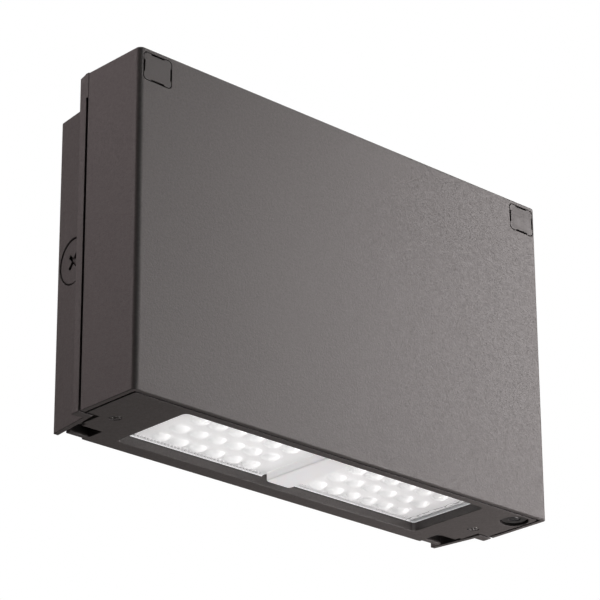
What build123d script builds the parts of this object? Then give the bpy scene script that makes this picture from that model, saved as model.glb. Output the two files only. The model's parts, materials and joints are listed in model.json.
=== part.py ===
from build123d import *
import os
import math

os.makedirs("parts", exist_ok=True)

# ---------------------------------------------------------------- dimensions
# All sizes are millimetres.  Row frame: +X to the viewer's right, +Y into the
# wall, +Z up.  Origin: centre of the junction-box pattern on the wall plane.
# Helper coordinates: y is counted from the front face towards the wall and z
# from the underside upwards; Y = y - DEPTH and Z = z - HEIGHT / 2.
WIDTH = 312.0            # cover, side to side
HEIGHT = 198.0           # cover, underside to top
DEPTH = 80.0             # front face to wall plane
COVER_D = 43.2           # depth of the front cover
COVER_T = 2.1            # cover wall
RIM_T = 2.8              # cover wall round its open underside
RIM_H = 9.0              # height of that thicker rim
EDGE_R = 3.2             # upright front edges of the cover
TOP_R = 1.0              # top edges of the cover
RIM_GAP = 1.8            # gap between cover rim and rear flange
FLANGE_T = 5.8           # rear casting flange
BOX_X0 = 148.4           # half width of the rear box at the flange
BOX_X1 = 144.4           # half width of the rear box at the wall
BOX_TOP = 184.8          # top of the rear box
BOX_T = 3.0              # rear box wall
BACK_T = 3.2             # rear box back plate
FLOOR_Z0 = 20.2          # underside of the rear box floor
FLOOR_Z1 = 23.2          # top of the rear box floor
PIVOT_Y = 66.0           # door hinge axis, from the front face
PIVOT_Z = 8.0            # door hinge axis, above the underside
PIN_R = 2.0              # hinge pin radius
KNUCKLE_CLEAR = 0.05     # running clearance on the hinge pin
TRAY_T = 2.6             # underside tray plate
TRAY_GAP = 1.4           # gap between tray and cover rim
TRAY_Y1 = 76.2           # rear edge of the tray
TRAY_X1 = 143.4          # half width of the tray behind the cover
REC_X = 112.8            # half width of the light recess
REC_Y0, REC_Y1 = 9.3, 65.8   # light recess, front and rear edge
REC_TOP = 9.6            # underside of the heat spreader
LENS_Z = 5.3             # lower face of the optic plates
OPTIC_T = 1.5
LED_COLS = [25.5 + 13.1 * i for i in range(6)]
LED_ROWS = [22.3, 38.4, 54.5]
DOME_A, DOME_H = 5.3, 2.7    # optic dome: base radius and height
SCREW_X, SCREW_Z = 143.4, 187.2  # door screws, under the corner plugs
PLUG_W, PLUG_H = 19.3, 16.1      # corner plugs
POCKET_W, POCKET_H = 20.2, 17.0
POCKET_D = 7.0
CONDUIT_R = 13.3         # conduit entry, three-quarter-inch size
CONDUIT_Y, CONDUIT_Z = 65.0, 95.0
SENSOR_X, SENSOR_Y = 142.9, 13.9
SENSOR_Z = 4.4           # top of the boss that the sensor is clamped to
TSCREW_X, TSCREW_Y = 135.5, 39.8
JBOX_HALF = 44.45        # two-hole round box pattern, 88.9 mm apart
GANG_HALF = 41.65        # two-hole single-gang pattern, 83.3 mm apart
LAG_X, LAG_Z = 110.0, 50.0
WIRE_R = 11.0

HX = WIDTH / 2
CZ = HEIGHT / 2


# ---------------------------------------------------------------- helpers
def bx(x0, x1, y0, y1, z0, z1):
    return Pos((x0 + x1) / 2, (y0 + y1) / 2 - DEPTH, (z0 + z1) / 2 - CZ) * Box(
        abs(x1 - x0), abs(y1 - y0), abs(z1 - z0))


def cyl_y(x, z, y0, y1, r):
    return Pos(x, (y0 + y1) / 2 - DEPTH, z - CZ) * Rot(90, 0, 0) * Cylinder(r, abs(y1 - y0))


def cyl_z(x, y, z0, z1, r):
    return Pos(x, y - DEPTH, (z0 + z1) / 2 - CZ) * Cylinder(r, abs(z1 - z0))


def cyl_x(y, z, x0, x1, r):
    return Pos((x0 + x1) / 2, y - DEPTH, z - CZ) * Rot(0, 90, 0) * Cylinder(r, abs(x1 - x0))


def rbx_z(x0, x1, y0, y1, z0, z1, r):
    """Box with its upright edges rounded."""
    b = bx(x0, x1, y0, y1, z0, z1)
    return fillet(b.edges().filter_by(Axis.Z), r)


def rbx_y(x0, x1, y0, y1, z0, z1, r):
    """Box with the edges that run front to back rounded."""
    b = bx(x0, x1, y0, y1, z0, z1)
    return fillet(b.edges().filter_by(Axis.Y), r)


def prism(points, z0, z1):
    """Upright prism on (x, y) points."""
    pts = [(x, y - DEPTH) for x, y in points]
    f = make_face(Polyline(*pts, close=True))
    return Pos(0, 0, z0 - CZ) * extrude(f, z1 - z0, dir=(0, 0, 1))


def tube(points, radii, r):
    """Round lead along straight runs joined by tangent arcs."""
    pts = [(x, y - DEPTH, z - CZ) for x, y, z in points]
    if len(pts) == 2:
        path = Line(pts[0], pts[1])
    else:
        path = FilletPolyline(*pts, radius=radii)
    start = Vector(*pts[0])
    d = (Vector(*pts[1]) - start).normalized()
    sec = Plane(origin=start, z_dir=d) * Circle(r)
    return sweep(sec, path=path)


def write(name, shapes):
    if not isinstance(shapes, (list, tuple)):
        shapes = [shapes]
    solids = []
    for s in shapes:
        solids += list(s.solids())
    obj = solids[0] if len(solids) == 1 else Compound(children=solids)
    export_step(obj, os.path.join("parts", name + ".step"))
    print(name, len(solids), round(sum(s.volume for s in solids) / 1000.0, 2), "cm3")


# ---------------------------------------------------------------- front cover
outer = bx(-HX, HX, 0, COVER_D, 0, HEIGHT)
front_uprights = outer.edges().filter_by(Axis.Z).sort_by(Axis.Y)[:2]
outer = fillet(front_uprights, EDGE_R)
top_edges = [e for e in outer.faces().sort_by(Axis.Z)[-1].edges()
             if e.center().Y < COVER_D - DEPTH - 0.5]
outer = fillet(top_edges, TOP_R)
cavity = bx(-HX + COVER_T, HX - COVER_T, COVER_T, COVER_D + 1, -1, HEIGHT - COVER_T)
cavity = fillet(cavity.edges().filter_by(Axis.Z).sort_by(Axis.Y)[:2], 1.2)
cover = outer - cavity

# thicker rim round the open underside
rim = bx(-HX + 1, HX - 1, 1, COVER_D, 0, RIM_H)
mouth = bx(-HX + RIM_T, HX - RIM_T, RIM_T, COVER_D + 1, -1, RIM_H + 1)
mouth = fillet(mouth.edges().filter_by(Axis.Z).sort_by(Axis.Y)[:2], 1.2)
cover += rim - mouth

# thickened rim that presses on the door gasket
cover += bx(-HX + 1, -HX + 6, 37.2, COVER_D, 28, HEIGHT - 1)
cover += bx(HX - 6, HX - 1, 37.2, COVER_D, 28, HEIGHT - 1)
cover += bx(-HX + 1, HX - 1, 37.2, COVER_D, HEIGHT - 6, HEIGHT - 1)
for s in (-1, 1):
    # corner posts that take the tray screws
    cover += bx(s * 129.5, s * (HX - 1), 34.0, COVER_D, TRAY_T, 34.0)
    # corner blocks behind the plug pockets, and the screw wells
    cover += bx(s * 131.2, s * (HX - 1), 1.0, POCKET_D + 2.4, 176.8, HEIGHT - 1)
    cover += cyl_y(s * SCREW_X, SCREW_Z, POCKET_D, COVER_D, 6.5)
# ribs on the inside of the front wall
for x in (-118, -40, 40, 118):
    cover += bx(x - 0.9, x + 0.9, 1.0, 5.0, 30, 176)
cover += bx(-150, 150, 1.0, 5.0, 68.1, 69.9)
cover += bx(-150, 150, 1.0, 5.0, 166.1, 167.9)
# posts for the driver bracket
BRK_X = (-92.0, 126.0)
BRK_Z = (90.0, 148.0)
for x in BRK_X:
    for z in BRK_Z:
        cover += cyl_y(x, z, 1.0, 6.4, 4.5)
for s in (-1, 1):
    cover -= rbx_y(s * SCREW_X - POCKET_W / 2, s * SCREW_X + POCKET_W / 2, -1, POCKET_D,
                   SCREW_Z - POCKET_H / 2, SCREW_Z + POCKET_H / 2, 2.6)
    cover -= cyl_y(s * SCREW_X, SCREW_Z, POCKET_D - 1, COVER_D + 1, 2.8)
    cover -= cyl_y(s * SCREW_X, SCREW_Z, 41.7, COVER_D + 1, 4.9)
    cover -= cyl_z(s * TSCREW_X, TSCREW_Y, TRAY_T - 1, 16, 1.8)
for x in BRK_X:
    for z in BRK_Z:
        cover -= cyl_y(x, z, 2.6, 7, 1.55)
write("front_cover", cover)

# ---------------------------------------------------------------- light tray
tx = HX - RIM_T - TRAY_GAP
ty = RIM_T + TRAY_GAP
tray = bx(-tx, tx, ty, COVER_D, 0, TRAY_T)
tray = fillet(tray.edges().filter_by(Axis.Z).sort_by(Axis.Y)[:2], 1.2)
tray += bx(-TRAY_X1, TRAY_X1, COVER_D - 1, TRAY_Y1, 0, TRAY_T)
# perimeter lip inside the cover
tray += bx(-tx + 1.2, tx - 1.2, ty, ty + 1.8, 1, 8)
for s in (-1, 1):
    tray += bx(s * (tx - 1.8), s * tx, ty + 1.2, 33.4, 1, 8)
# upstand that carries the gasket line across the bottom
tray += bx(-128.9, 128.9, 40.2, COVER_D, 1, 27.0)
# recess walls and heat spreader
tray += bx(-REC_X - 2.6, REC_X + 2.6, REC_Y0 - 2.6, REC_Y1 + 2.6, 0, REC_TOP + 1)
tray += bx(-118, 118, 5.5, 70.5, REC_TOP, REC_TOP + 3)
# cooling fins behind the upstand
for i in range(-10, 11):
    tray += bx(i * 11 - 0.9, i * 11 + 0.9, 46.0, 70.0, REC_TOP + 1, 18.0)
# short fins in front of the upstand, clear of the lead grommet
for i in range(-10, 11):
    if abs(i) > 0:
        tray += bx(i * 11 - 0.9, i * 11 + 0.9, 8.0, 32.0, REC_TOP + 1, 17.0)
tray -= rbx_z(-REC_X, REC_X, REC_Y0, REC_Y1, -1, REC_TOP, 3.0)
# stiffening webs under the rear strip
for s in (-1, 1):
    tray += bx(s * 124.5, s * 127.5, 56.0, TRAY_Y1, 1, 8.0)
    # openings around the hinge ears
    tray -= bx(s * 127.5, s * 146, 60.0, 71.0, -1, 9)
    tray -= bx(s * 140.4, s * 146, 60.0, TRAY_Y1 + 1, -1, 9)
    tray -= bx(s * 128.2, s * 146, 74.4, TRAY_Y1 + 1, -1, 9)
    # clearance to the cheeks of the rear casting when the door is open
    tray -= bx(s * 141.3, s * 146, 56.6, 61.0, -1, 9)
    # hinge bar and knuckle
    tray += bx(s * 127.0, s * 140.4, 71.0, 74.4, 0, 8.0)
    tray += bx(s * 136.9, s * 140.4, PIVOT_Y, 74.4, 4.6, 10.2)
    tray += cyl_x(PIVOT_Y, PIVOT_Z, s * 136.9, s * 140.4, 4.4)
    tray -= cyl_x(PIVOT_Y, PIVOT_Z, s * 136.0, s * 141.4, PIN_R + KNUCKLE_CLEAR)
    # tray screw holes with counterbores
    tray -= cyl_z(s * TSCREW_X, TSCREW_Y, -1, TRAY_T + 1, 1.95)
    tray -= cyl_z(s * TSCREW_X, TSCREW_Y, -1, 1.5, 3.45)
# light sensor opening
tray += cyl_z(SENSOR_X, SENSOR_Y, 1, SENSOR_Z, 8.9)
tray -= cyl_z(SENSOR_X, SENSOR_Y, SENSOR_Z, 9, 7.8)
tray -= cyl_z(SENSOR_X, SENSOR_Y, -1, SENSOR_Z + 1, 6.35)
tray -= cyl_z(SENSOR_X, SENSOR_Y, -1, 2.4, 8.4)
# lead hole in the heat spreader
GROM_Y = 34.0
tray -= cyl_z(0, GROM_Y, REC_TOP - 1, REC_TOP + 4, 4.2)
# board screw holes
BS = [(x, y) for x in (45.15, 71.35) for y in (30.35, 46.45)]
for s in (-1, 1):
    for x, y in BS:
        tray -= cyl_z(s * x, y, REC_TOP - 1, REC_TOP + 2.4, 1.25)
write("light_tray", tray)

# ---------------------------------------------------------------- optics and boards
R = (DOME_A ** 2 + DOME_H ** 2) / (2 * DOME_H)
for s, side in ((-1, "left"), (1, "right")):
    lo, hi = sorted((s * 8.3, s * 112.5))
    plate = bx(lo, hi, REC_Y0 + 0.3, REC_Y1 - 0.3, LENS_Z, LENS_Z + OPTIC_T)
    far = [e for e in plate.edges().filter_by(Axis.Z) if s * e.center().X > 100]
    plate = fillet(far, 2.7)
    zc = LENS_Z - DOME_H + R
    for x in LED_COLS:
        for y in LED_ROWS:
            cap = Pos(s * x, y - DEPTH, zc - CZ) * Sphere(R)
            cap &= cyl_z(s * x, y, LENS_Z - DOME_H - 1, LENS_Z + 0.5, DOME_A + 1)
            plate += cap
    write("optic_" + side, plate)

    lo, hi = sorted((s * 4.6, s * 109.4))
    board = bx(lo, hi, 12.4, 62.7, 7.6, 9.2)
    pad = bx(lo, hi, 12.4, 62.7, 9.2, REC_TOP)
    for x, y in BS:
        board -= cyl_z(s * x, y, 7, 10, 1.35)
        pad -= cyl_z(s * x, y, 7, 11, 1.35)
    write("led_board_" + side, board)
    write("thermal_pad_" + side, pad)
    write("leds_" + side, [bx(s * x - 1.75, s * x + 1.75, y - 1.75, y + 1.75, 6.85, 7.6)
                           for x in LED_COLS for y in LED_ROWS])

ring = rbx_z(-112.5, 112.5, REC_Y0 + 0.3, REC_Y1 - 0.3, LENS_Z + OPTIC_T, REC_TOP, 2.7)
ring -= bx(-109.9, 109.9, 11.9, 63.2, 5, 11)
write("optic_gasket", ring)

write("board_screws", [cyl_z(s * x, y, 6.9, 7.6, 2.2) + cyl_z(s * x, y, 7.5, 11.8, 1.2)
                       for s in (-1, 1) for x, y in BS])

# cap over the board connectors, between the two optic plates
cap = rbx_z(-9.3, 9.3, 10.0, 61.2, 0.6, LENS_Z, 2.6)
cap = fillet(cap.faces().sort_by(Axis.Z)[0].edges(), 1.0)
cap -= rbx_z(-8.0, 8.0, 11.4, 59.8, 2.0, LENS_Z + 1, 1.4)
write("connector_cover", cap)

write("board_connectors", [bx(s * 4.8, s * 7.8, GROM_Y - 4.2, GROM_Y + 4.2, 4.0, 7.6) for s in (-1, 1)])

grom = cyl_z(0, GROM_Y, REC_TOP, REC_TOP + 3, 4.2) + cyl_z(0, GROM_Y, REC_TOP + 3, REC_TOP + 4.4, 5.6)
grom -= cyl_z(0, GROM_Y, REC_TOP - 1, REC_TOP + 6, 3.0)
write("lead_grommet", grom)

# ---------------------------------------------------------------- tray screws
def cross_z(x, y, z0, z1, half, w):
    return bx(x - half, x + half, y - w / 2, y + w / 2, z0, z1) + bx(x - w / 2, x + w / 2, y - half, y + half, z0, z1)


scr = []
for s in (-1, 1):
    h = cyl_z(s * TSCREW_X, TSCREW_Y, 0.05, 1.5, 3.3)
    h = fillet(h.faces().sort_by(Axis.Z)[0].edges(), 0.6)
    h += cyl_z(s * TSCREW_X, TSCREW_Y, 1.4, 14.0, 1.75)
    h -= cross_z(s * TSCREW_X, TSCREW_Y, -1, 1.1, 1.9, 0.8)
    scr.append(h)
write("tray_screws", scr)

# ---------------------------------------------------------------- light sensor
sb = cyl_z(SENSOR_X, SENSOR_Y, 1.4, 2.4, 7.5) + cyl_z(SENSOR_X, SENSOR_Y, 2.3, 24, 6.2)
sb -= cyl_z(SENSOR_X, SENSOR_Y, -1, 2.2, 3.7)
write("sensor_body", sb)
sl = Pos(SENSOR_X, SENSOR_Y - DEPTH, 8.3 - CZ) * Sphere(7.4)
sl &= cyl_z(SENSOR_X, SENSOR_Y, 0, 2.2, 3.55)
write("sensor_window", sl)
sn = cyl_z(SENSOR_X, SENSOR_Y, SENSOR_Z + 0.8, SENSOR_Z + 4.2, 7.4) - cyl_z(SENSOR_X, SENSOR_Y, 0, 12, 6.25)
for a in range(0, 360, 60):
    sn -= Pos(SENSOR_X, SENSOR_Y - DEPTH, 7.5 - CZ) * Rot(0, 0, a) * Pos(7.5, 0, 0) * Box(1.0, 2.4, 8)
write("sensor_nut", sn)
write("sensor_washer", cyl_z(SENSOR_X, SENSOR_Y, SENSOR_Z, SENSOR_Z + 0.8, 7.4) - cyl_z(SENSOR_X, SENSOR_Y, 0, 12, 6.25))

# ---------------------------------------------------------------- driver group
bracket = bx(-98, 132, 6.4, 7.9, 84, 154)
bracket = fillet(bracket.edges().filter_by(Axis.Y), 3)
bracket += bx(-98 + 3, 132 - 3, 6.4, 14.0, 152.5, 154)
for x in BRK_X:
    for z in BRK_Z:
        bracket -= cyl_y(x, z, 5, 9, 2.0)
DRV_TAB = (-88.5, 50.5)
for x in DRV_TAB:
    bracket -= cyl_y(x, 119, 5, 9, 1.3)
write("driver_bracket", bracket)

drv = rbx_y(-83, 45, 7.9, 37.0, 92, 146, 2.5)
drv = fillet(drv.faces().sort_by(Axis.Y)[0].edges(), 1.2)
drv += bx(-93, -82, 7.9, 9.1, 112, 126) + bx(44, 55, 7.9, 9.1, 112, 126)
for x in DRV_TAB:
    drv -= cyl_y(x, 119, 7, 10, 1.7)
write("led_driver", drv)

bscr = []
for x in BRK_X:
    for z in BRK_Z:
        hd = cyl_y(x, z, 7.9, 10.3, 3.4)
        hd = fillet(hd.faces().sort_by(Axis.Y)[-1].edges(), 0.9)
        hd += cyl_y(x, z, 2.8, 8.0, 1.5)
        hd -= bx(x - 2, x + 2, 9.2, 11, z - 0.4, z + 0.4) + bx(x - 0.4, x + 0.4, 9.2, 11, z - 2, z + 2)
        bscr.append(hd)
write("bracket_screws", bscr)
dscr = []
for x in DRV_TAB:
    hd = cyl_y(x, 119, 9.1, 11.0, 2.7) + cyl_y(x, 119, 5.2, 9.2, 1.25)
    hd -= bx(x - 1.8, x + 1.8, 10.2, 12, 119 - 0.35, 119 + 0.35)
    dscr.append(hd)
write("driver_screws", dscr)

surge = rbx_y(62, 112, 7.9, 27.9, 92, 126, 2.0)
write("surge_protector", surge)
tb = bx(66, 106, 7.9, 26.0, 134, 149)
for i in range(5):
    tb -= cyl_y(70 + i * 8, 141.5, 21, 27, 2.4)
for i in range(4):
    tb -= bx(73.5 + i * 8, 74.5 + i * 8, 22, 27, 130, 152)
write("terminal_block", tb)
write("terminal_screws", [cyl_y(70 + i * 8, 141.5, 21, 24.2, 2.1) -
                          bx(70 + i * 8 - 2.4, 70 + i * 8 + 2.4, 23.4, 25, 141.1, 141.9) for i in range(5)])

# ---------------------------------------------------------------- leads inside the door
LEAD_R = 0.8
leads = []
for sx in (-1, 1):
    for dy in (-1.25, 1.25):
        y = GROM_Y + dy
        x = sx * 1.35
        leads.append(tube([(x, 22 + dy, 92), (x, 22 + dy, 60), (x, y, 34), (x, y, 5.6), (sx * 4.8, y, 5.6)],
                          [16, 16, 1.6], LEAD_R))
write("led_leads", leads)
leads = []
for i, y in enumerate((13.5, 17.0, 20.5)):
    xm = 55.5 + 1.7 * (i - 1)
    leads.append(tube([(45, y, 131), (xm, y, 131), (xm, y, 141.5 + 2.2 * (i - 1)), (66, y, 141.5 + 2.2 * (i - 1))],
                      [3.5, 3.5], LEAD_R))
write("line_leads", leads)
write("surge_leads", [tube([(x, 17.5, 126), (x, 17.5, 134)], None, LEAD_R) for x in (78, 84, 90)])
leads = []
for dx, zz in ((-2.0, 138.6), (2.0, 144.0)):
    leads.append(tube([(SENSOR_X + dx, SENSOR_Y, 24), (SENSOR_X + dx, SENSOR_Y, 66), (122 + dx, 15.5, 104),
                       (118 + dx, 18, zz), (106, 18, zz)], [18, 20, 6], LEAD_R))
write("sensor_leads", leads)

# ---------------------------------------------------------------- door screws and corner plugs
for s, side in ((-1, "left"), (1, "right")):
    cs = cyl_y(s * SCREW_X, SCREW_Z, 3.4, POCKET_D, 4.7)
    cs = fillet(cs.faces().sort_by(Axis.Y)[0].edges(), 1.4)
    cs += cyl_y(s * SCREW_X, SCREW_Z, POCKET_D - 0.5, 51.2, 2.5)
    cs = chamfer(cs.faces().sort_by(Axis.Y)[-1].edges(), 0.6)
    cs -= bx(s * SCREW_X - 3, s * SCREW_X + 3, 2, 5.2, SCREW_Z - 0.6, SCREW_Z + 0.6)
    cs -= bx(s * SCREW_X - 0.6, s * SCREW_X + 0.6, 2, 5.2, SCREW_Z - 3, SCREW_Z + 3)
    write("door_screw_" + side, cs)
    write("screw_retainer_" + side, cyl_y(s * SCREW_X, SCREW_Z, 41.9, 42.9, 4.6)
          - cyl_y(s * SCREW_X, SCREW_Z, 41, 44, 2.52))

    x0, x1 = s * SCREW_X - PLUG_W / 2, s * SCREW_X + PLUG_W / 2
    z0, z1 = SCREW_Z - PLUG_H / 2, SCREW_Z + PLUG_H / 2
    pl = rbx_y(x0, x1, 0, 6.0, z0, z1, 2.4)
    pl -= rbx_y(x0 + 1.9, x1 - 1.9, 2.6, 7, z0 + 1.9, z1 - 1.9, 1.2)
    # finger reliefs along the middle of each side
    for xr in (x0, x1):
        pl -= bx(xr - 0.8, xr + 0.8, -1, 7, SCREW_Z - 3.6, SCREW_Z + 3.6)
    for zr in (z0, z1):
        pl -= bx(s * SCREW_X - 4.6, s * SCREW_X + 4.6, -1, 7, zr - 0.8, zr + 0.8)
    write("corner_plug_" + side, pl)

# ---------------------------------------------------------------- rear casting
slope = (BOX_X0 - BOX_X1) / (DEPTH - (COVER_D + RIM_GAP + FLANGE_T))
FY0 = COVER_D + RIM_GAP
FY1 = FY0 + FLANGE_T


def half_x(y, inset=0.0):
    return BOX_X0 - slope * (y - FY1) - inset


body = prism([(-half_x(FY1 - 1), FY1 - 1), (-half_x(DEPTH), DEPTH), (half_x(DEPTH), DEPTH), (half_x(FY1 - 1), FY1 - 1)],
             0, BOX_TOP)
top = [e for e in body.faces().sort_by(Axis.Z)[-1].edges() if e.center().Y > FY1 - DEPTH + 1]
body = fillet(top, 1.4)
flange = bx(-HX, HX, FY0, FY1, 0, HEIGHT)
rear_rim = [e for e in flange.faces().sort_by(Axis.Y)[-1].edges().filter_by(Axis.Z)]
flange = chamfer(rear_rim, 0.5)
# the top of the flange falls away to the rear
fall = make_face(Polyline((FY0 - DEPTH, CZ), (FY1 + 1 - DEPTH, CZ - 2.1), (FY1 + 1 - DEPTH, CZ + 3), (FY0 - DEPTH, CZ + 3),
                          close=True))
flange -= Pos(-170, 0, 0) * extrude(Plane.YZ * fall, 340, dir=(1, 0, 0))
box = body + flange
ci = 3.0
box -= prism([(-half_x(FY0, ci), FY0 - 2), (-half_x(FY0, ci), FY0), (-half_x(DEPTH - BACK_T, ci), DEPTH - BACK_T),
              (half_x(DEPTH - BACK_T, ci), DEPTH - BACK_T), (half_x(FY0, ci), FY0), (half_x(FY0, ci), FY0 - 2)],
             FLOOR_Z1, BOX_TOP - BOX_T)
box += bx(-146, 146, FY0, FY1, FLOOR_Z0, 27.0)
# open space under the floor, where the rear of the tray sits
box -= prism([(-half_x(FY0, ci), FY0 - 2), (-half_x(FY0, ci), FY0), (-half_x(DEPTH + 1, ci), DEPTH + 1),
              (half_x(DEPTH + 1, ci), DEPTH + 1), (half_x(FY0, ci), FY0), (half_x(FY0, ci), FY0 - 2)],
             -1, FLOOR_Z0)
for s in (-1, 1):
    # stop pads at the upper corners and the screw bosses behind them
    box += bx(s * 136, s * HX, COVER_D + 0.2, FY0 + 1, 183.0, HEIGHT)
    box += cyl_y(s * SCREW_X, SCREW_Z, FY0, 56.0, 5.4)
# gasket groove
groove = bx(-153.8, 153.8, COVER_D, 46.2, 21.7, 195.8) - bx(-150.2, 150.2, COVER_D - 1, 47, 25.4, 192.2)
box -= groove
for s in (-1, 1):
    box -= cyl_y(s * SCREW_X, SCREW_Z, COVER_D - 1, 54.6, 3.5)
    # hinge ears below the floor
    box += bx(s * 129.5, s * 134.0, 60.5, 65.4, PIVOT_Z, FLOOR_Z0 + 1)
    box += cyl_x(PIVOT_Y, PIVOT_Z, s * 129.5, s * 134.0, 4.4)
    box -= cyl_x(PIVOT_Y, PIVOT_Z, s * 128.5, s * 144.9, PIN_R + 0.02)
    # conduit hubs, square to the tapered side
    ang = math.degrees(math.atan(slope))
    org = Vector(s * half_x(CONDUIT_Y), CONDUIT_Y - DEPTH, CONDUIT_Z - CZ)
    nrm = Vector(s * math.cos(math.radians(ang)), math.sin(math.radians(ang)), 0)
    hub = Plane(origin=org, z_dir=nrm)
    keep = prism([(-half_x(FY0, 1), FY0), (-half_x(DEPTH, 1), DEPTH), (half_x(DEPTH, 1), DEPTH), (half_x(FY0, 1), FY0)],
                 FLOOR_Z1, BOX_TOP - 1)
    box += (hub * Pos(0, 0, -6.5) * Cylinder(15.8, 14.0)) & keep
    box -= hub * Pos(0, 0, -7.0) * Cylinder(CONDUIT_R, 17.0)
    box -= hub * Pos(0, 0, -0.3) * Cone(CONDUIT_R, CONDUIT_R + 0.6, 1.4)
# mounting holes in the back plate
hz = CZ
for x in (-JBOX_HALF, JBOX_HALF):
    box -= cyl_y(x, hz, DEPTH - 6, DEPTH + 1, 2.4)
for dz in (-GANG_HALF, GANG_HALF):
    box -= cyl_y(0, hz + dz, DEPTH - 6, DEPTH + 1, 2.4)
for x in (-LAG_X, LAG_X):
    for dz in (-LAG_Z, LAG_Z):
        box -= cyl_y(x, hz + dz, DEPTH - 6, DEPTH + 1, 3.3)
box -= cyl_y(0, hz, DEPTH - 6, DEPTH + 1, WIRE_R)
# ground boss
box += cyl_y(-72, 130, 72.6, DEPTH - 1.6, 4.6)
box -= cyl_y(-72, 130, 71, 77.6, 1.75)
# groove for the wall gasket on the back face
box -= bx(-130.2, 130.2, DEPTH - 1.4, DEPTH + 1, 29.8, 176.2) - bx(-121.8, 121.8, DEPTH - 3, DEPTH + 2, 38.2, 167.8)
write("rear_housing", box)

write("wall_gasket", bx(-130, 130, DEPTH - 1.4, DEPTH, 30, 176) - bx(-122, 122, DEPTH - 3, DEPTH + 2, 38, 168))
dg = rbx_y(-153.6, 153.6, COVER_D + 0.1, 46.2, 21.9, 195.6, 1.0)
dg -= bx(-150.4, 150.4, COVER_D - 1, 47, 25.2, 192.4)
write("door_gasket", dg)
write("hinge_pins", [cyl_x(PIVOT_Y, PIVOT_Z, s * 128.9, s * 144.7, PIN_R) for s in (-1, 1)])

gs = cyl_y(-72, 130, 70.2, 72.6, 3.6)
gs = fillet(gs.faces().sort_by(Axis.Y)[0].edges(), 0.8)
gs += cyl_y(-72, 130, 72.5, 77.4, 1.7)
gs -= bx(-74.6, -69.4, 69, 71.2, 129.5, 130.5)
write("ground_screw", gs)

# ---------------------------------------------------------------- conduit plugs
for s, side in ((-1, "left"), (1, "right")):
    org = Vector(s * half_x(CONDUIT_Y), CONDUIT_Y - DEPTH, CONDUIT_Z - CZ)
    nrm = Vector(s * math.cos(math.radians(ang)), math.sin(math.radians(ang)), 0)
    hub = Plane(origin=org, x_dir=Vector(0, 0, 1), z_dir=nrm)
    pg = Pos(0, 0, -6.2) * Cylinder(CONDUIT_R - 0.3, 11.8)
    pg = fillet(pg.faces().sort_by(Axis.Z)[-1].edges(), 0.5)
    pg -= Pos(0, 0, -9.2) * Cylinder(10.2, 10.0)
    pg -= Pos(0, 0, -3.2) * (Cylinder(CONDUIT_R + 1, 1.9) - Cylinder(11.55, 3))
    for a in (45, 135):
        pg -= Rot(0, 0, a) * Pos(0, 0, -0.8) * Box(11.2, 2.3, 2.2)
    write("conduit_plug_" + side, hub * pg)
    write("conduit_oring_" + side, hub * Pos(0, 0, -3.2) * Torus(12.42, 0.83))
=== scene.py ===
import json
import math

import bmesh
import bpy
import numpy as np
from mathutils import Matrix, Vector


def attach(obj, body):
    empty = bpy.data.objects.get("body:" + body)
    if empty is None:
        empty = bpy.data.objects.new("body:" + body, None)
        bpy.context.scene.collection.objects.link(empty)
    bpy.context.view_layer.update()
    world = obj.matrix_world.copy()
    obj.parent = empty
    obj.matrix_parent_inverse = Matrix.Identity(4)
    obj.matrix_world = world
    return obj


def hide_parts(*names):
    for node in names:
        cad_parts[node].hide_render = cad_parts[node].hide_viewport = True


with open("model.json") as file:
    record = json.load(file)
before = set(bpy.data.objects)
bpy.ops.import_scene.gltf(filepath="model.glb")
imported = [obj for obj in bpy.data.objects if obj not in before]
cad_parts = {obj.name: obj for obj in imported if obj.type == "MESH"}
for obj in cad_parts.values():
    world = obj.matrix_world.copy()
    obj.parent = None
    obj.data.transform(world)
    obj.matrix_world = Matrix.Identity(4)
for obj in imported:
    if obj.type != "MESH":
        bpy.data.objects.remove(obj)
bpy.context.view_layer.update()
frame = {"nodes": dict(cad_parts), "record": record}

scene = bpy.context.scene
NODES = frame["nodes"]

# ------------------------------------------------------------------ camera
# Looks up at the front left of the light, along the direction solved from the
# corners of the cover and of the rear casting.
AZ, EL, ROLL = math.radians(-43.239), math.radians(-23.064), math.radians(-0.334)
CAM_AT = Vector((-1.05125, -1.15626, -0.64556))
LENS = 2934.8 / 600.0 * 36.0

back = Vector((math.sin(AZ) * math.cos(EL), -math.cos(AZ) * math.cos(EL), math.sin(EL)))
right = Vector((math.cos(AZ), math.sin(AZ), 0.0))
up = back.cross(right)
r2 = right * math.cos(ROLL) + up * math.sin(ROLL)
u2 = -right * math.sin(ROLL) + up * math.cos(ROLL)
cam_data = bpy.data.cameras.new("camera")
cam = bpy.data.objects.new("camera", cam_data)
scene.collection.objects.link(cam)
cam.matrix_world = Matrix((
    (r2.x, u2.x, back.x, CAM_AT.x),
    (r2.y, u2.y, back.y, CAM_AT.y),
    (r2.z, u2.z, back.z, CAM_AT.z),
    (0, 0, 0, 1)))
cam_data.sensor_width = 36.0
cam_data.lens = LENS
cam_data.clip_start = 0.01
cam_data.clip_end = 200.0
scene.camera = cam

scene.view_settings.view_transform = "Standard"
scene.view_settings.look = "None"
scene.view_settings.exposure = 0.0
scene.view_settings.gamma = 1.0


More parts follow.
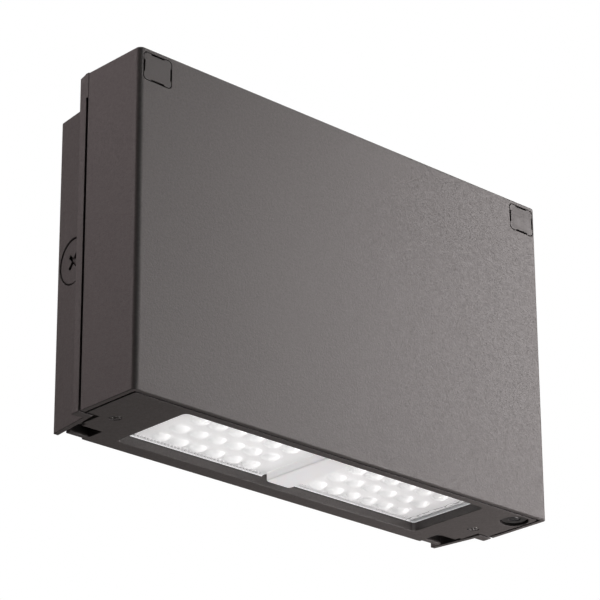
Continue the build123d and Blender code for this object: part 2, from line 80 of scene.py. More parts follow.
# ------------------------------------------------------------------ material kit
class Kit:
    """A material's nodes, with short helpers for the ones used often."""

    def __init__(self, name):
        self.m = bpy.data.materials.new(name)
        self.m.use_nodes = True
        self.t = self.m.node_tree
        self.t.nodes.clear()
        self.out = self.add("ShaderNodeOutputMaterial")
        self.b = self.add("ShaderNodeBsdfPrincipled")
        self.link(self.b.outputs[0], self.out.inputs["Surface"])
        tc = self.add("ShaderNodeTexCoord")
        self.co = tc.outputs["Object"]

    def add(self, kind):
        return self.t.nodes.new(kind)

    def link(self, a, b):
        self.t.links.new(a, b)

    def put(self, sock, v):
        if hasattr(v, "is_output") or isinstance(v, bpy.types.NodeSocket):
            self.link(v, sock)
        else:
            sock.default_value = v

    def scaled(self, sx, sy, sz, rot=(0, 0, 0), loc=(0, 0, 0)):
        n = self.add("ShaderNodeMapping")
        n.inputs["Scale"].default_value = (sx, sy, sz)
        n.inputs["Rotation"].default_value = rot
        n.inputs["Location"].default_value = loc
        self.link(self.co, n.inputs["Vector"])
        return n.outputs[0]

    def noise(self, scale, detail=2.0, rough=0.5, vec=None, dist=0.0):
        n = self.add("ShaderNodeTexNoise")
        n.inputs["Scale"].default_value = scale
        n.inputs["Detail"].default_value = detail
        n.inputs["Roughness"].default_value = rough
        n.inputs["Distortion"].default_value = dist
        self.link(vec if vec is not None else self.co, n.inputs["Vector"])
        return n.outputs["Fac"]

    def voronoi(self, scale, feature="F1", vec=None, out="Distance", rand=1.0):
        n = self.add("ShaderNodeTexVoronoi")
        n.feature = feature
        n.inputs["Scale"].default_value = scale
        n.inputs["Randomness"].default_value = rand
        self.link(vec if vec is not None else self.co, n.inputs["Vector"])
        return n.outputs[out]

    def ramp(self, fac, a, b, lo=0.0, hi=1.0):
        """fac mapped from a..b to lo..hi, clamped."""
        n = self.add("ShaderNodeMapRange")
        n.inputs["From Min"].default_value = a
        n.inputs["From Max"].default_value = b
        n.inputs["To Min"].default_value = lo
        n.inputs["To Max"].default_value = hi
        self.link(fac, n.inputs["Value"])
        return n.outputs[0]

    def math(self, op, a, b=None):
        n = self.add("ShaderNodeMath")
        n.operation = op
        self.put(n.inputs[0], a)
        if b is not None:
            self.put(n.inputs[1], b)
        return n.outputs[0]

    def mix(self, fac, a, b, mode="MIX"):
        n = self.add("ShaderNodeMix")
        n.data_type = "RGBA"
        n.blend_type = mode
        self.put(n.inputs[0], fac)
        self.put(n.inputs[6], a if not isinstance(a, tuple) else (*a, 1.0)[:4])
        self.put(n.inputs[7], b if not isinstance(b, tuple) else (*b, 1.0)[:4])
        return n.outputs[2]

    def bevel(self, radius, samples=6):
        n = self.add("ShaderNodeBevel")
        n.samples = samples
        n.inputs["Radius"].default_value = radius
        return n.outputs[0]

    def edges(self, radius=0.0008, a=0.012, b=0.16):
        """1 on sharp convex and concave edges, 0 on flats."""
        bev = self.bevel(radius)
        geo = self.add("ShaderNodeNewGeometry")
        d = self.add("ShaderNodeVectorMath")
        d.operation = "DOT_PRODUCT"
        self.link(bev, d.inputs[0])
        self.link(geo.outputs["Normal"], d.inputs[1])
        inv = self.math("SUBTRACT", 1.0, d.outputs["Value"])
        return self.ramp(inv, a, b), bev

    def painted_gap_shade(self, reach=0.0028, a=0.35, b=0.64):
        """Painted shade from ambient occlusion: 0 deep in narrow gaps, 1 in the open."""
        n = self.add("ShaderNodeAmbientOcclusion")
        n.samples = 6
        n.inputs["Distance"].default_value = reach
        return self.ramp(n.outputs["AO"], a, b)

    def bump(self, height, strength, distance, normal=None):
        n = self.add("ShaderNodeBump")
        n.inputs["Strength"].default_value = strength
        n.inputs["Distance"].default_value = distance
        self.link(height, n.inputs["Height"])
        if normal is not None:
            self.link(normal, n.inputs["Normal"])
        return n.outputs[0]

    def set(self, **kw):
        names = {"base": "Base Color", "rough": "Roughness", "metal": "Metallic", "normal": "Normal",
                 "ior": "IOR", "spec": "Specular IOR Level", "trans": "Transmission Weight",
                 "coat": "Coat Weight", "coat_rough": "Coat Roughness", "sheen": "Sheen Weight",
                 "emit": "Emission Color", "emit_k": "Emission Strength", "sss": "Subsurface Weight",
                 "sss_r": "Subsurface Radius", "sss_s": "Subsurface Scale", "aniso": "Anisotropic",
                 "alpha": "Alpha"}
        for k, v in kw.items():
            s = self.b.inputs[names[k]]
            if isinstance(v, tuple) and len(v) == 3 and k in ("base", "emit"):
                v = (*v, 1.0)
            self.put(s, v)
        return self


def shade(c, k):
    return tuple(min(1.0, x * k) for x in c)


def powder(name, col, rough=0.47, grain=1250.0, wear=0.32, hinge=False):
    """Fine textured powder coat on a casting, with painted shade in narrow gaps; the flag adds
    painted shade inside the hinge openings where the knuckles turn, and a painted highlight on the recess corners."""
    k = Kit(name)
    broad = k.noise(7.0, 3.0, 0.55)
    mid = k.noise(240.0, 2.0, 0.6)
    peel = k.noise(grain * 0.52, 2.0, 0.6)
    fine = k.noise(grain, 2.0, 0.65)
    fleck = k.voronoi(grain * 1.5, "F1")
    base = k.mix(k.ramp(broad, 0.3, 0.7), shade(col, 0.95), shade(col, 1.06))
    base = k.mix(k.ramp(mid, 0.35, 0.65, 0.0, 0.25), base, shade(col, 0.82))
    base = k.mix(k.ramp(peel, 0.38, 0.64, 0.0, 0.5), base, shade(col, 1.32))
    base = k.mix(k.ramp(fine, 0.36, 0.66, 0.0, 0.5), base, shade(col, 1.45))
    base = k.mix(k.ramp(fleck, 0.25, 0.08, 0.0, 0.5), base, shade(col, 0.5))
    edge, bev = k.edges(0.0007)
    broken = k.math("MULTIPLY", edge, k.ramp(k.noise(420.0, 3.0, 0.7), 0.38, 0.62, 0.25, 1.0))
    base = k.mix(k.math("MULTIPLY", broken, wear), base, shade(col, 1.9))
    # painted shade: the coat darkens to 12 % of its colour deep in narrow gaps
    base = k.mix(k.painted_gap_shade(), shade(col, 0.12), base)
    if hinge:
        # painted shade: almost black inside the hinge openings at the rear corners of the tray
        xyz = k.add("ShaderNodeSeparateXYZ")
        k.link(k.co, xyz.inputs[0])
        ax = k.math("ABSOLUTE", xyz.outputs[0])
        painted_hinge_shade = k.math("MULTIPLY", k.ramp(ax, 0.1272, 0.1278), k.ramp(ax, 0.1412, 0.1408))
        painted_hinge_shade = k.math("MULTIPLY", painted_hinge_shade, k.math("MULTIPLY", k.ramp(xyz.outputs[1], -0.0209, -0.0203),
                                               k.ramp(xyz.outputs[1], -0.0048, -0.0054)))
        painted_hinge_shade = k.math("MULTIPLY", painted_hinge_shade, k.math("MULTIPLY", k.ramp(xyz.outputs[2], -0.0984, -0.0976),
                                               k.ramp(xyz.outputs[2], -0.078, -0.080)))
        base = k.mix(k.math("MULTIPLY", painted_hinge_shade, k.ramp(mid, 0.3, 0.6, 0.7, 0.92)), base, (0.012, 0.011, 0.010))
    if hinge:
        # painted reflection of the bright lens on the rear corner radii of the light recess
        ax = k.math("ABSOLUTE", xyz.outputs[0])
        dx = k.math("SUBTRACT", ax, 0.1120)
        dy = k.math("SUBTRACT", xyz.outputs[1], -0.0150)
        d = k.math("SQRT", k.math("ADD", k.math("MULTIPLY", dx, dx), k.math("MULTIPLY", dy, dy)))
        painted_corner_reflection = k.math("MULTIPLY", k.ramp(d, 0.0013, 0.0005), k.ramp(xyz.outputs[2], -0.0890, -0.0915))
        base = k.mix(k.math("MULTIPLY", painted_corner_reflection, 0.55), base, shade(col, 2.6))
    h = k.math("ADD", k.math("MULTIPLY", fine, 0.55), k.math("MULTIPLY", peel, 0.55))
    h = k.math("ADD", h, k.math("MULTIPLY", mid, 0.35))
    rgh = k.ramp(k.noise(520.0, 3.0, 0.6), 0.3, 0.7, rough - 0.05, rough + 0.08)
    rgh = k.math("SUBTRACT", rgh, k.math("MULTIPLY", broken, 0.12))
    k.set(base=base, rough=rgh, normal=k.bump(h, 0.55, 0.00022, bev), ior=1.5)
    return k.m


def plain_plastic(name, col, rough=0.42, grain=900.0, bump=0.25, sss=0.0, wear=0.35, spec=0.5, glow=0.0):
    """Moulded plastic: faint flow marks, fine spark-eroded grain, softened edges."""
    k = Kit(name)
    flow = k.noise(30.0, 3.0, 0.6, k.scaled(1.0, 1.0, 0.25))
    fine = k.noise(grain, 2.0, 0.6)
    base = k.mix(k.ramp(flow, 0.3, 0.7), shade(col, 0.94), shade(col, 1.05))
    base = k.mix(k.ramp(fine, 0.4, 0.65, 0.0, 0.3), base, shade(col, 0.85))
    edge, bev = k.edges(0.0004)
    base = k.mix(k.math("MULTIPLY", edge, wear), base, shade(col, 1.35))
    rgh = k.ramp(k.noise(160.0, 3.0, 0.6), 0.3, 0.7, rough - 0.06, rough + 0.07)
    k.set(base=base, rough=rgh, normal=k.bump(fine, bump, 0.0001, bev), spec=spec)
    if sss > 0:
        k.set(sss=sss, sss_s=0.003)
    # glow above 0 gives the plastic a painted glow in its own colour, though it is no lamp
    if glow > 0:
        k.set(emit=base, emit_k=glow)
    return k.m


def rubber(name, col, rough=0.72, grain=1500.0, foam=False):
    """Moulded rubber or silicone; foam adds open cells."""
    k = Kit(name)
    fine = k.noise(grain, 3.0, 0.65)
    bloom = k.noise(60.0, 4.0, 0.65)
    base = k.mix(k.ramp(bloom, 0.35, 0.7), shade(col, 0.85), shade(col, 1.25))
    h = fine
    if foam:
        cells = k.voronoi(1100.0, "SMOOTH_F1")
        base = k.mix(k.ramp(cells, 0.15, 0.55), shade(col, 0.45), base)
        h = cells
    edge, bev = k.edges(0.0005)
    base = k.mix(k.math("MULTIPLY", edge, 0.35), base, shade(col, 1.8))
    rgh = k.ramp(k.noise(300.0, 3.0, 0.6), 0.3, 0.7, rough - 0.08, rough + 0.1)
    k.set(base=base, rough=rgh, normal=k.bump(h, 0.5 if foam else 0.3, 0.0003 if foam else 0.0001, bev))
    return k.m


def plated(name, col, rough=0.32, streak=(60.0, 60.0, 1600.0)):
    """Zinc plated steel: turning marks, dull patches, bright worn edges."""
    k = Kit(name)
    lines = k.noise(1.0, 2.0, 0.6, k.scaled(*streak))
    patch = k.noise(180.0, 3.0, 0.65)
    base = k.mix(k.ramp(patch, 0.35, 0.65), shade(col, 0.8), shade(col, 1.08))
    base = k.mix(k.ramp(lines, 0.35, 0.65, 0.0, 0.3), base, shade(col, 0.72))
    edge, bev = k.edges(0.0003)
    base = k.mix(k.math("MULTIPLY", edge, 0.5), base, shade(col, 1.3))
    rgh = k.ramp(patch, 0.3, 0.7, rough - 0.08, rough + 0.14)
    k.set(base=base, rough=rgh, metal=1.0, normal=k.bump(lines, 0.25, 0.00006, bev))
    return k.m


def galvanised(name, col):
    """Galvanised sheet with spangle."""
    k = Kit(name)
    cells = k.voronoi(130.0, "F1", out="Color")
    sep = k.add("ShaderNodeSeparateColor")
    k.link(cells, sep.inputs[0])
    fine = k.noise(900.0, 2.0, 0.6)
    base = k.mix(sep.outputs[0], shade(col, 0.78), shade(col, 1.12))
    base = k.mix(k.ramp(fine, 0.4, 0.65, 0.0, 0.25), base, shade(col, 0.8))
    edge, bev = k.edges(0.0004)
    base = k.mix(k.math("MULTIPLY", edge, 0.5), base, shade(col, 1.25))
    k.set(base=base, rough=k.ramp(sep.outputs[1], 0.0, 1.0, 0.3, 0.5), metal=1.0,
          normal=k.bump(fine, 0.2, 0.00006, bev))
    return k.m


def board(name, col):
    """White solder mask over copper, with the pour showing faintly through, and a faint painted glow."""
    k = Kit(name)
    cells = k.add("ShaderNodeTexBrick")
    cells.inputs["Scale"].default_value = 1.0
    cells.inputs["Color1"].default_value = (1, 1, 1, 1)
    cells.inputs["Color2"].default_value = (0.92, 0.92, 0.92, 1)
    cells.inputs["Mortar"].default_value = (0, 0, 0, 1)
    cells.inputs["Mortar Size"].default_value = 0.0004
    cells.inputs["Brick Width"].default_value = 0.0131
    cells.inputs["Row Height"].default_value = 0.01605
    cells.offset = 0.0
    k.link(k.co, cells.inputs["Vector"])
    fine = k.noise(1400.0, 2.0, 0.6)
    base = k.mix(k.ramp(cells.outputs["Fac"], 0.0, 1.0, 0.0, 0.5), col, shade(col, 0.86))
    base = k.mix(k.ramp(fine, 0.4, 0.65, 0.0, 0.2), base, shade(col, 0.93))
    edge, bev = k.edges(0.0003)
    base = k.mix(k.math("MULTIPLY", edge, 0.3), base, (0.8, 0.74, 0.55))
    k.set(base=base, rough=k.ramp(k.noise(300.0, 2.0), 0.3, 0.7, 0.36, 0.46),
          normal=k.bump(cells.outputs["Fac"], 0.3, 0.00005, bev),
          emit=base, emit_k=PAINTED_BOARD_GLOW)
    return k.m


def clear_optic(name):
    """Clear moulded plate over white boards, with a painted glow: each dome is painted
    bright as if carrying the light of its diode, the flat between them glows a soft grey, and
    painted dark marks show the prisms along the rear edge breaking up what is behind them."""
    k = Kit(name)
    xyz = k.add("ShaderNodeSeparateXYZ")
    k.link(k.co, xyz.inputs[0])
    ax = k.math("ABSOLUTE", xyz.outputs[0])
    yf = k.math("ADD", xyz.outputs[1], 0.08)
    dx = k.math("PINGPONG", k.math("ADD", ax, 0.0131 * 4 - 0.0255), 0.00655)
    dy = k.math("PINGPONG", k.math("ADD", yf, 0.0161 * 4 - 0.0223), 0.00805)
    wob = k.noise(260.0, 2.0, 0.6)
    d = k.math("SQRT", k.math("ADD", k.math("MULTIPLY", dx, dx), k.math("MULTIPLY", dy, dy)))
    d = k.math("ADD", d, k.math("MULTIPLY", k.math("SUBTRACT", wob, 0.5), 0.0022))
    field = k.math("MULTIPLY", k.ramp(ax, 0.0185, 0.0195), k.ramp(ax, 0.0985, 0.0975))
    dome = k.math("MULTIPLY", k.ramp(d, 0.0056, 0.0026), field)
    ring = k.math("MULTIPLY", k.math("MULTIPLY", k.ramp(d, 0.0052, 0.0058), k.ramp(d, 0.0066, 0.0060)), field)
    flow = k.noise(90.0, 3.0, 0.6)
    fine = k.noise(900.0, 2.0, 0.5)
    lit = k.mix(k.ramp(flow, 0.3, 0.7), PLATE_LO, PLATE_HI)
    lit = k.mix(k.math("MULTIPLY", ring, 0.45), lit, PLATE_RING)
    lit = k.mix(dome, lit, DOME_LIT)
    # painted caustics: short painted glints and grey strokes round the feet of the domes, glints also across the
    # front strip
    swirl = k.noise(330.0, 1.0, 0.4, dist=0.4)
    skirt = k.math("MULTIPLY", k.math("MULTIPLY", k.ramp(d, 0.0034, 0.0046), k.ramp(d, 0.0082, 0.0066)), field)
    spark = k.ramp(k.math("ABSOLUTE", k.math("SUBTRACT", swirl, 0.56)), 0.030, 0.010)
    stroke = k.ramp(k.math("ABSOLUTE", k.math("SUBTRACT", swirl, 0.44)), 0.020, 0.006)
    front = k.math("MULTIPLY", k.ramp(yf, 0.0330, 0.0160), field)
    lit = k.mix(k.math("MULTIPLY", k.math("MAXIMUM", skirt, front), k.math("MULTIPLY", spark, 0.9)), lit, RIM_LIT)
    back = k.ramp(yf, 0.0380, 0.0600, 0.12, 1.0)
    stroke = k.math("MULTIPLY", k.math("MULTIPLY", stroke, skirt), back)
    lit = k.mix(k.math("MULTIPLY", stroke, 0.55), lit, PAINTED_SHADE_BLACK)
    # painted shade: dark marks of the prisms along the rear edge
    sx = k.math("ADD", ax, k.math("MULTIPLY", yf, 0.55))
    saw = k.math("PINGPONG", sx, 0.0012)
    within = k.math("MULTIPLY", k.ramp(ax, 0.0100, 0.0110), k.ramp(ax, 0.1045, 0.1035))
    row = k.math("MULTIPLY", k.ramp(yf, 0.0617, 0.0620), k.ramp(yf, 0.0641, 0.0637))
    row = k.math("MULTIPLY", row, within)
    gap = k.math("MULTIPLY", k.ramp(saw, 0.0005, 0.0009), k.ramp(k.noise(700.0, 2.0, 0.5), 0.36, 0.52, 0.25, 1.0))
    dash = k.ramp(k.math("PINGPONG", k.math("SUBTRACT", ax, k.math("MULTIPLY", yf, 0.3)), 0.00065), 0.00030, 0.00048)
    upper = k.math("MULTIPLY", k.math("MULTIPLY", k.ramp(yf, 0.0598, 0.0601), k.ramp(yf, 0.0611, 0.0608)), within)
    upper = k.math("MULTIPLY", k.math("MULTIPLY", upper, dash), k.ramp(k.noise(240.0, 2.0, 0.5), 0.42, 0.56))
    marks = k.math("MAXIMUM", k.math("MULTIPLY", row, gap), upper)
    lit = k.mix(k.math("MULTIPLY", marks, 0.7), lit, PAINTED_SHADE_BLACK)
    # clear end: a greyer painted glow, painted dark lines along its ribs and seam, and a painted highlight beside a
    # rib
    end = k.ramp(ax, 0.1038, 0.1046)
    lit = k.mix(k.math("MULTIPLY", end, 0.6), lit, END_PAINTED_GREY)
    wave = k.math("SUBTRACT", ax, k.math("MULTIPLY", k.math("SUBTRACT", k.noise(150.0, 1.0, 0.4), 0.5), 0.006))
    curl = k.ramp(k.math("ABSOLUTE", k.math("SUBTRACT", wave, 0.1052)), 0.00055, 0.00025)
    seam = k.ramp(k.math("ABSOLUTE", k.math("SUBTRACT", ax, 0.1088)), 0.00050, 0.00025)
    lines = k.math("MULTIPLY", end, k.math("MAXIMUM", curl, seam))
    lit = k.mix(k.math("MULTIPLY", lines, 0.7), lit, PAINTED_SHADE_BLACK)
    bright = k.ramp(k.math("ABSOLUTE", k.math("SUBTRACT", wave, 0.1066)), 0.00060, 0.00030)
    lit = k.mix(k.math("MULTIPLY", end, k.math("MULTIPLY", bright, 0.8)), lit, RIM_LIT)
    # painted highlight along the bead all round
    rim = k.math("MAXIMUM", k.ramp(yf, 0.0644, 0.0647), k.math("MAXIMUM", k.ramp(yf, 0.0107, 0.0103),
                                                               k.ramp(ax, 0.1112, 0.1116)))
    lit = k.mix(rim, lit, RIM_LIT)
    # the painted glow fades by up to 30 % across the right plate, towards +x
    lit = k.mix(k.ramp(xyz.outputs[0], 0.015, 0.100, 0.0, 0.30), lit, PAINTED_SHADE_BLACK)
    tone = k.mix(k.ramp(flow, 0.3, 0.7), (0.94, 0.94, 0.94), (0.905, 0.903, 0.903))
    # painted shade: the plate's own colour darkens at the prism marks, rib lines and strokes
    painted_shade_marks = k.math("MAXIMUM", k.math("MULTIPLY", marks, 0.62), k.math("MAXIMUM", k.math("MULTIPLY", lines, 0.6),
                                                                    k.math("MULTIPLY", stroke, 0.5)))
    tone = k.mix(painted_shade_marks, tone, (0.12, 0.12, 0.12))
    k.set(base=tone,
          rough=k.ramp(fine, 0.35, 0.7, OPTIC_ROUGH, OPTIC_ROUGH + 0.08), ior=1.49, trans=OPTIC_TRANS,
          emit=lit, emit_k=PAINTED_OPTIC_GLOW, normal=k.bump(fine, 0.08, 0.00005))
    return k.m


def diode(name):
    """Diode package: white frame, phosphor in the middle."""
    k = Kit(name)
    fine = k.noise(2500.0, 2.0, 0.6)
    base = k.mix(k.ramp(fine, 0.35, 0.65), (0.95, 0.92, 0.80), (0.98, 0.96, 0.88))
    edge, bev = k.edges(0.0004)
    base = k.mix(edge, base, (0.95, 0.95, 0.95))
    k.set(base=base, rough=k.ramp(fine, 0.3, 0.7, 0.3, 0.42), emit=base, emit_k=EMIT_LED,
          normal=k.bump(fine, 0.1, 0.00005, bev))
    return k.m


def screw_head(name, col):
    """Painted screw head, chipped to bright metal where the driver bites."""
    k = Kit(name)
    fine = k.noise(1700.0, 2.0, 0.6)
    chips = k.ramp(k.noise(950.0, 2.0, 0.55), 0.54, 0.60)
    base = k.mix(k.ramp(fine, 0.35, 0.65), shade(col, 0.85), shade(col, 1.2))
    edge, bev = k.edges(0.0003)
    bare = k.math("MAXIMUM", chips, k.math("MULTIPLY", edge, k.ramp(fine, 0.40, 0.60, 0.2, 0.9)))
    base = k.mix(bare, base, (0.50, 0.49, 0.47))
    k.set(base=base, rough=k.ramp(bare, 0.0, 1.0, 0.48, 0.34), metal=k.math("MULTIPLY", bare, 0.5),
          normal=k.bump(fine, 0.4, 0.00015, bev), ior=1.5)
    return k.m


def wire(name, col):
    """Insulated lead: satin, slightly mottled."""
    k = Kit(name)
    n = k.noise(500.0, 3.0, 0.6)
    base = k.mix(k.ramp(n, 0.3, 0.7), shade(col, 0.85), shade(col, 1.15))
    k.set(base=base, rough=k.ramp(n, 0.3, 0.7, 0.36, 0.5), normal=k.bump(n, 0.15, 0.00008))
    return k.m


# emission strengths: the boards and the optic plates get a painted glow, though they are no lamps; the diodes give
# light
PAINTED_BOARD_GLOW = 0.25
EMIT_LED = 0.9
PAINTED_OPTIC_GLOW = 1.0
OPTIC_ROUGH = 0.3
OPTIC_TRANS = 0.35
# emission colours of the optic plates' painted glow: the flat, the ring round each dome, the domes, the painted
# shade of the dark marks, the clear end, and the painted highlight on the bead
PLATE_LO, PLATE_HI = (0.155, 0.154, 0.154), (0.215, 0.213, 0.213)
PLATE_RING = (0.135, 0.134, 0.134)
DOME_LIT = (0.33, 0.33, 0.33)
PAINTED_SHADE_BLACK = (0.0, 0.0, 0.0)
END_PAINTED_GREY = (0.10, 0.10, 0.10)
RIM_LIT = (0.42, 0.42, 0.42)

BRONZE = (0.0996, 0.0908, 0.0868)
M = {
    "housing_paint": powder("housing_paint_look", BRONZE, hinge=True),
    "plug_rubber": plain_plastic("plug_rubber_look", shade(BRONZE, 0.98), rough=0.5, wear=0.5),
    "gasket_rubber": rubber("gasket_rubber_look", (0.022, 0.022, 0.023)),
    "foam_gasket": rubber("foam_gasket_look", (0.07, 0.07, 0.072), rough=0.85, foam=True),
    "optic_clear": clear_optic("optic_clear_look"),
    # the white cap between the boards gets a painted glow
    "cap_white": plain_plastic("cap_white_look", (0.86, 0.86, 0.865), rough=0.3, sss=0.15, glow=0.42),
    "board_white": board("board_white_look", (0.88, 0.88, 0.875)),
    "led_white": diode("led_white_look"),
    "thermal_grey": rubber("thermal_grey_look", (0.42, 0.43, 0.45), rough=0.6),
    "connector_white": plain_plastic("connector_white_look", (0.80, 0.80, 0.76), rough=0.4),
    "zinc_steel": plated("zinc_steel_look", (0.62, 0.62, 0.61)),
    "dark_steel": powder("dark_steel_look", shade(BRONZE, 0.82), rough=0.42, grain=1700.0, wear=0.9),
    "green_steel": powder("green_steel_look", (0.03, 0.22, 0.07), rough=0.35, grain=2200.0, wear=0.6),
    "galvanised": galvanised("galvanised_look", (0.62, 0.63, 0.64)),
    "driver_case": plain_plastic("driver_case_look", (0.74, 0.74, 0.72), rough=0.48),
    "surge_case": plain_plastic("surge_case_look", (0.03, 0.03, 0.033), rough=0.38),
    "terminal_plastic": plain_plastic("terminal_plastic_look", (0.66, 0.63, 0.55), rough=0.42, sss=0.08),
    "wire_insulation": wire("wire_insulation_look", (0.03, 0.03, 0.033)),
    "wire_red": wire("wire_red_look", (0.45, 0.02, 0.02)),
    "sensor_plastic": plain_plastic("sensor_plastic_look", (0.052, 0.050, 0.048), rough=0.4, wear=0.6),
    "sensor_window": plain_plastic("sensor_window_look", (0.075, 0.074, 0.074), rough=0.16, bump=0.05),
}

slot_of = {s["node"]: s["material_slot"] for s in frame["record"]["subparts"]}
SCREW_LOOK = screw_head("tray_screw_look", shade(BRONZE, 0.82))
for name, obj in NODES.items():
    look = SCREW_LOOK if name == "tray_screws" else M[slot_of[name]]
    if not obj.material_slots:
        obj.data.materials.append(look)
    for s in obj.material_slots:
        s.material = look

# ------------------------------------------------------------------ optic plates
# Face millimetres, as in the part: y from the front face, z from the underside.
LED_COLS = [25.5 + 13.1 * i for i in range(6)]
LED_ROWS = [22.3, 38.4, 54.5]
DOME_A, DOME_H = 5.3, 2.7
DOME_R = (DOME_A ** 2 + DOME_H ** 2) / (2 * DOME_H)


def new_piece(name, verts, faces, body, look, smooth=True):
    me = bpy.data.meshes.new(name)
    me.from_pydata([tuple(v) for v in verts], [], faces)
    me.validate()
    bm = bmesh.new()
    bm.from_mesh(me)
    bmesh.ops.recalc_face_normals(bm, faces=bm.faces)
    bm.to_mesh(me)
    bm.free()
    me.polygons.foreach_set("use_smooth", [smooth] * len(me.polygons))
    ob = bpy.data.objects.new(name, me)
    scene.collection.objects.link(ob)
    me.materials.append(look)
    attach(ob, body)
    return ob


def optic_height(x, y):
    """How far the outer face of the plate stands out, at |x|, y in mm."""
    h = np.zeros_like(x)
    for cx in LED_COLS:
        for cy in LED_ROWS:
            d = np.hypot(x - cx, y - cy)
            h = np.maximum(h, np.sqrt(np.maximum(DOME_R ** 2 - d ** 2, 0)) - (DOME_R - DOME_H))
            h = np.maximum(h, 0.22 * np.clip((6.3 - d) / 0.3, 0, 1))
    # raised bead round the plate
    e = np.minimum(np.minimum(y - 9.6, 65.5 - y), 112.5 - x)
    h = np.maximum(h, 0.45 * np.clip((1.4 - e) / 0.4, 0, 1) * np.clip(e / 0.3 + 0.25, 0, 1))
    # row of short prisms along the rear edge, and a plain rib before it
    band = np.clip((y - 60.9) / 0.4, 0, 1) * np.clip((63.9 - y) / 0.4, 0, 1) * (x > 10.5) * (x < 103.5)
    w = np.abs(((x + 0.55 * (y - 60.9)) / 2.4) % 1.0 - 0.5) * 2.0
    h = np.maximum(h, band * 0.9 * w)
    rib = np.clip(1 - np.abs(y - 14.2) / 0.5, 0, 1) * (x > 12) * (x < 104)
    h = np.maximum(h, 0.3 * rib)
    # ribs across the clear end
    far = np.clip(1 - np.abs(x - 106.6 - 0.5 * np.sin(y * 1.1)) / 0.5, 0, 1) * (y > 12) * (y < 63)
    return np.maximum(h, 0.5 * far)


def optic(side, s):
    r = 2.7
    xs = np.concatenate([np.linspace(8.3, 109.8, 250), 109.8 + r * np.sin(np.linspace(0.12, math.pi / 2, 12))])
    inset = np.where(xs > 109.8, r - np.sqrt(np.maximum(r * r - (xs - 109.8) ** 2, 0)), 0.0)
    v = np.linspace(0.0, 1.0, 140)
    X = np.repeat(xs[:, None], len(v), 1)
    lo, hi = 9.6 + inset, 65.5 - inset
    Y = lo[:, None] + (hi - lo)[:, None] * v[None, :]
    Z = 5.3 - optic_height(X, Y)
    nx, ny = X.shape
    low = np.stack([s * X, Y - 80.0, Z - 99.0], -1).reshape(-1, 3) / 1000.0
    rim = ([(i, 0) for i in range(nx)] + [(nx - 1, j) for j in range(1, ny)]
           + [(i, ny - 1) for i in range(nx - 2, -1, -1)] + [(0, j) for j in range(ny - 2, 0, -1)])
    top = np.array([(s * X[i, j], Y[i, j] - 80.0, 6.8 - 99.0) for i, j in rim]) / 1000.0
    faces = [(i * ny + j, (i + 1) * ny + j, (i + 1) * ny + j + 1, i * ny + j + 1)
             for i in range(nx - 1) for j in range(ny - 1)]
    n0 = nx * ny
    m = len(rim)
    ids = [i * ny + j for i, j in rim]
    faces += [(ids[a], ids[(a + 1) % m], n0 + (a + 1) % m, n0 + a) for a in range(m)]
    faces.append(tuple(range(n0, n0 + m)))
    ob = new_piece("optic_plate_" + side, np.concatenate([low, top]), faces, "door", M["optic_clear"])
    ob.data.polygons[len(faces) - 1].use_smooth = False
    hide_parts("optic_" + side)
    return ob


optic("left", -1)
optic("right", 1)



# ------------------------------------------------------------------ things inside the door
def rounded(x0, x1, z0, z1, r, n=6):
    """Corner points of a rounded rectangle in x and z, mm."""
    pts = []
    for cx, cz, a0 in ((x1 - r, z1 - r, 0), (x0 + r, z1 - r, 90), (x0 + r, z0 + r, 180), (x1 - r, z0 + r, 270)):
        for i in range(n + 1):
            a = math.radians(a0 + 90.0 * i / n)
            pts.append((cx + r * math.cos(a), cz + r * math.sin(a)))
    return pts


def stacked(rings, y_base):
    """Closed shell through rings of (points, y), from y_base outwards."""
    verts, faces = [], []
    m = len(rings[0][0])
    for pts, y in rings:
        verts += [(x / 1000.0, (y - 80.0) / 1000.0, (z - 99.0) / 1000.0) for x, z in pts]
    for a in range(len(rings) - 1):
        for i in range(m):
            j = (i + 1) % m
            faces.append((a * m + i, a * m + j, (a + 1) * m + j, (a + 1) * m + i))
    faces.append(tuple(range(m)))
    faces.append(tuple(range((len(rings) - 1) * m, len(rings) * m)))
    return verts, faces


def merge(parts):
    verts, faces = [], []
    for v, f in parts:
        n = len(verts)
        verts += v
        faces += [tuple(i + n for i in q) for q in f]
    return verts, faces


def lid(x0, x1, z0, z1, y, t, r, lip=0.5):
    return stacked([(rounded(x0, x1, z0, z1, r), y - 0.4), (rounded(x0, x1, z0, z1, r), y + t - lip),
                    (rounded(x0 + lip * 0.3, x1 - lip * 0.3, z0 + lip * 0.3, z1 - lip * 0.3, r), y + t - lip * 0.3),
                    (rounded(x0 + lip, x1 - lip, z0 + lip, z1 - lip, max(0.2, r - lip)), y + t)], y)


# driver: a lid let into the case, with ribs along it
parts = [lid(-80.5, 42.5, 94.5, 143.5, 37.0, 0.9, 2.0)]
parts += [lid(-70 + i * 7.4, -66.6 + i * 7.4, 99.0, 139.0, 37.9, 1.3, 1.6, 0.7) for i in range(14)]
v, f = merge(parts)
new_piece("driver_lid", v, f, "door", M["driver_case"], smooth=False)
v, f = merge([lid(64.5, 109.5, 94.5, 123.5, 27.9, 0.8, 1.6), lid(70.0, 104.0, 100.0, 118.0, 28.7, 0.6, 2.4, 0.5)])
new_piece("surge_protector_lid", v, f, "door", M["surge_case"], smooth=False)

# terminal block: raised ribs between the ways
v, f = merge([lid(66.2 + i * 8.0, 67.2 + i * 8.0, 135.0, 148.0, 26.0, 1.2, 0.45, 0.3) for i in range(5)])
new_piece("terminal_block_ribs", v, f, "door", M["terminal_plastic"], smooth=False)

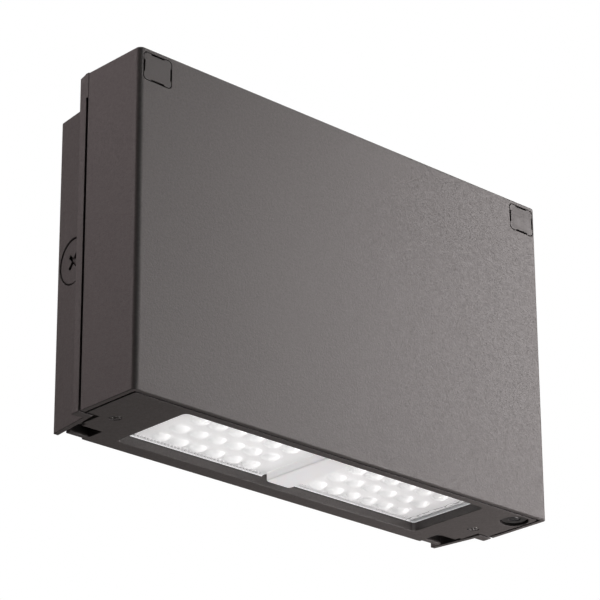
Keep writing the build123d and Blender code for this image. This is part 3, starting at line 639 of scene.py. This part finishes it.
# ------------------------------------------------------------------ floor and light
FLOOR_Z = -4.0
bm = bmesh.new()
bmesh.ops.create_grid(bm, x_segments=24, y_segments=24, size=70.0)
for v in bm.verts:
    v.co.z = FLOOR_Z
me = bpy.data.meshes.new("floor")
bm.to_mesh(me)
bm.free()
floor = bpy.data.objects.new("floor", me)
scene.collection.objects.link(floor)
k = Kit("floor_look")
k.set(base=k.mix(k.ramp(k.noise(1.5, 3.0), 0.3, 0.7), (0.10, 0.10, 0.10), (0.12, 0.12, 0.12)),
      rough=k.ramp(k.noise(40.0, 3.0), 0.3, 0.7, 0.75, 0.9))
glow = k.add("ShaderNodeEmission")
glow.inputs["Color"].default_value = (1.0, 1.0, 1.0, 1.0)
glow.inputs["Strength"].default_value = 1.0
seen = k.add("ShaderNodeLightPath")
pick = k.add("ShaderNodeMixShader")
k.link(seen.outputs["Is Camera Ray"], pick.inputs[0])
k.link(k.b.outputs[0], pick.inputs[1])
k.link(glow.outputs[0], pick.inputs[2])
k.link(pick.outputs[0], k.out.inputs["Surface"])
me.materials.append(k.m)

WORLD_LIGHT = 0.06
world = bpy.data.worlds.new("studio")
scene.world = world
world.use_nodes = True
wt = world.node_tree
wt.nodes.clear()
wo = wt.nodes.new("ShaderNodeOutputWorld")
soft = wt.nodes.new("ShaderNodeBackground")
soft.inputs["Color"].default_value = (1.0, 1.0, 1.0, 1.0)
soft.inputs["Strength"].default_value = WORLD_LIGHT
seen = wt.nodes.new("ShaderNodeBackground")
seen.inputs["Color"].default_value = (1.0, 1.0, 1.0, 1.0)
seen.inputs["Strength"].default_value = 1.0
path = wt.nodes.new("ShaderNodeLightPath")
wm = wt.nodes.new("ShaderNodeMixShader")
wt.links.new(path.outputs["Is Camera Ray"], wm.inputs[0])
wt.links.new(soft.outputs[0], wm.inputs[1])
wt.links.new(seen.outputs[0], wm.inputs[2])
wt.links.new(wm.outputs[0], wo.inputs["Surface"])


def softbox(name, at, aim, size, power, tint=(1.0, 1.0, 1.0)):
    d = bpy.data.lights.new(name, "AREA")
    d.shape = "RECTANGLE"
    d.size, d.size_y = size
    d.energy = power
    d.color = tint
    o = bpy.data.objects.new(name, d)
    scene.collection.objects.link(o)
    o.location = at
    o.rotation_mode = "QUATERNION"
    o.rotation_quaternion = (Vector(aim) - Vector(at)).to_track_quat("-Z", "Y")
    return o


WARM = (1.0, 0.85, 0.86)
SOFT_WARM = (1.0, 0.945, 0.95)
WHITE = (1.0, 1.0, 1.0)
LIGHTS = [
    ("key_right", (0.75, -0.55, 0.15), (0.10, -0.08, 0.0), (0.5, 0.9), 6.0, SOFT_WARM),
    ("key_right_near", (0.65, -0.6, 0.25), (0.14, -0.08, 0.03), (0.4, 0.5), 1.3, SOFT_WARM),
    ("front_high", (0.2, -1.8, 1.2), (0.0, -0.08, 0.0), (1.2, 0.8), 8.0),
    ("left", (-1.25, 0.75, 0.45), (-0.15, -0.02, 0.0), (0.8, 1.0), 2.75, WARM),
    ("left_high", (-1.2, 0.80, 0.95), (-0.15, -0.02, 0.0), (0.7, 0.8), 3.9, WARM),
    ("left_back", (-0.75, 1.35, 0.55), (-0.15, -0.02, 0.0), (0.6, 0.8), 0.85, WARM),
    ("low_right", (0.55, -0.15, -0.6), (0.16, -0.05, -0.1), (0.4, 0.4), 3.7, SOFT_WARM),
    ("below", (0.0, -0.4, -1.8), (0.0, -0.05, -0.1), (1.6, 1.2), 2.9),
    ("behind", (1.3, 1.7, 0.6), (0.0, 0.0, 0.0), (1.0, 1.0), 30.0),
    ("overhead", (0.25, 0.35, 1.7), (0.0, 0.0, 0.1), (1.2, 1.0), 14.0),
]
for n, at, aim, size, power, *tint in LIGHTS:
    softbox(n, at, aim, size, power, tint[0] if tint else WHITE)
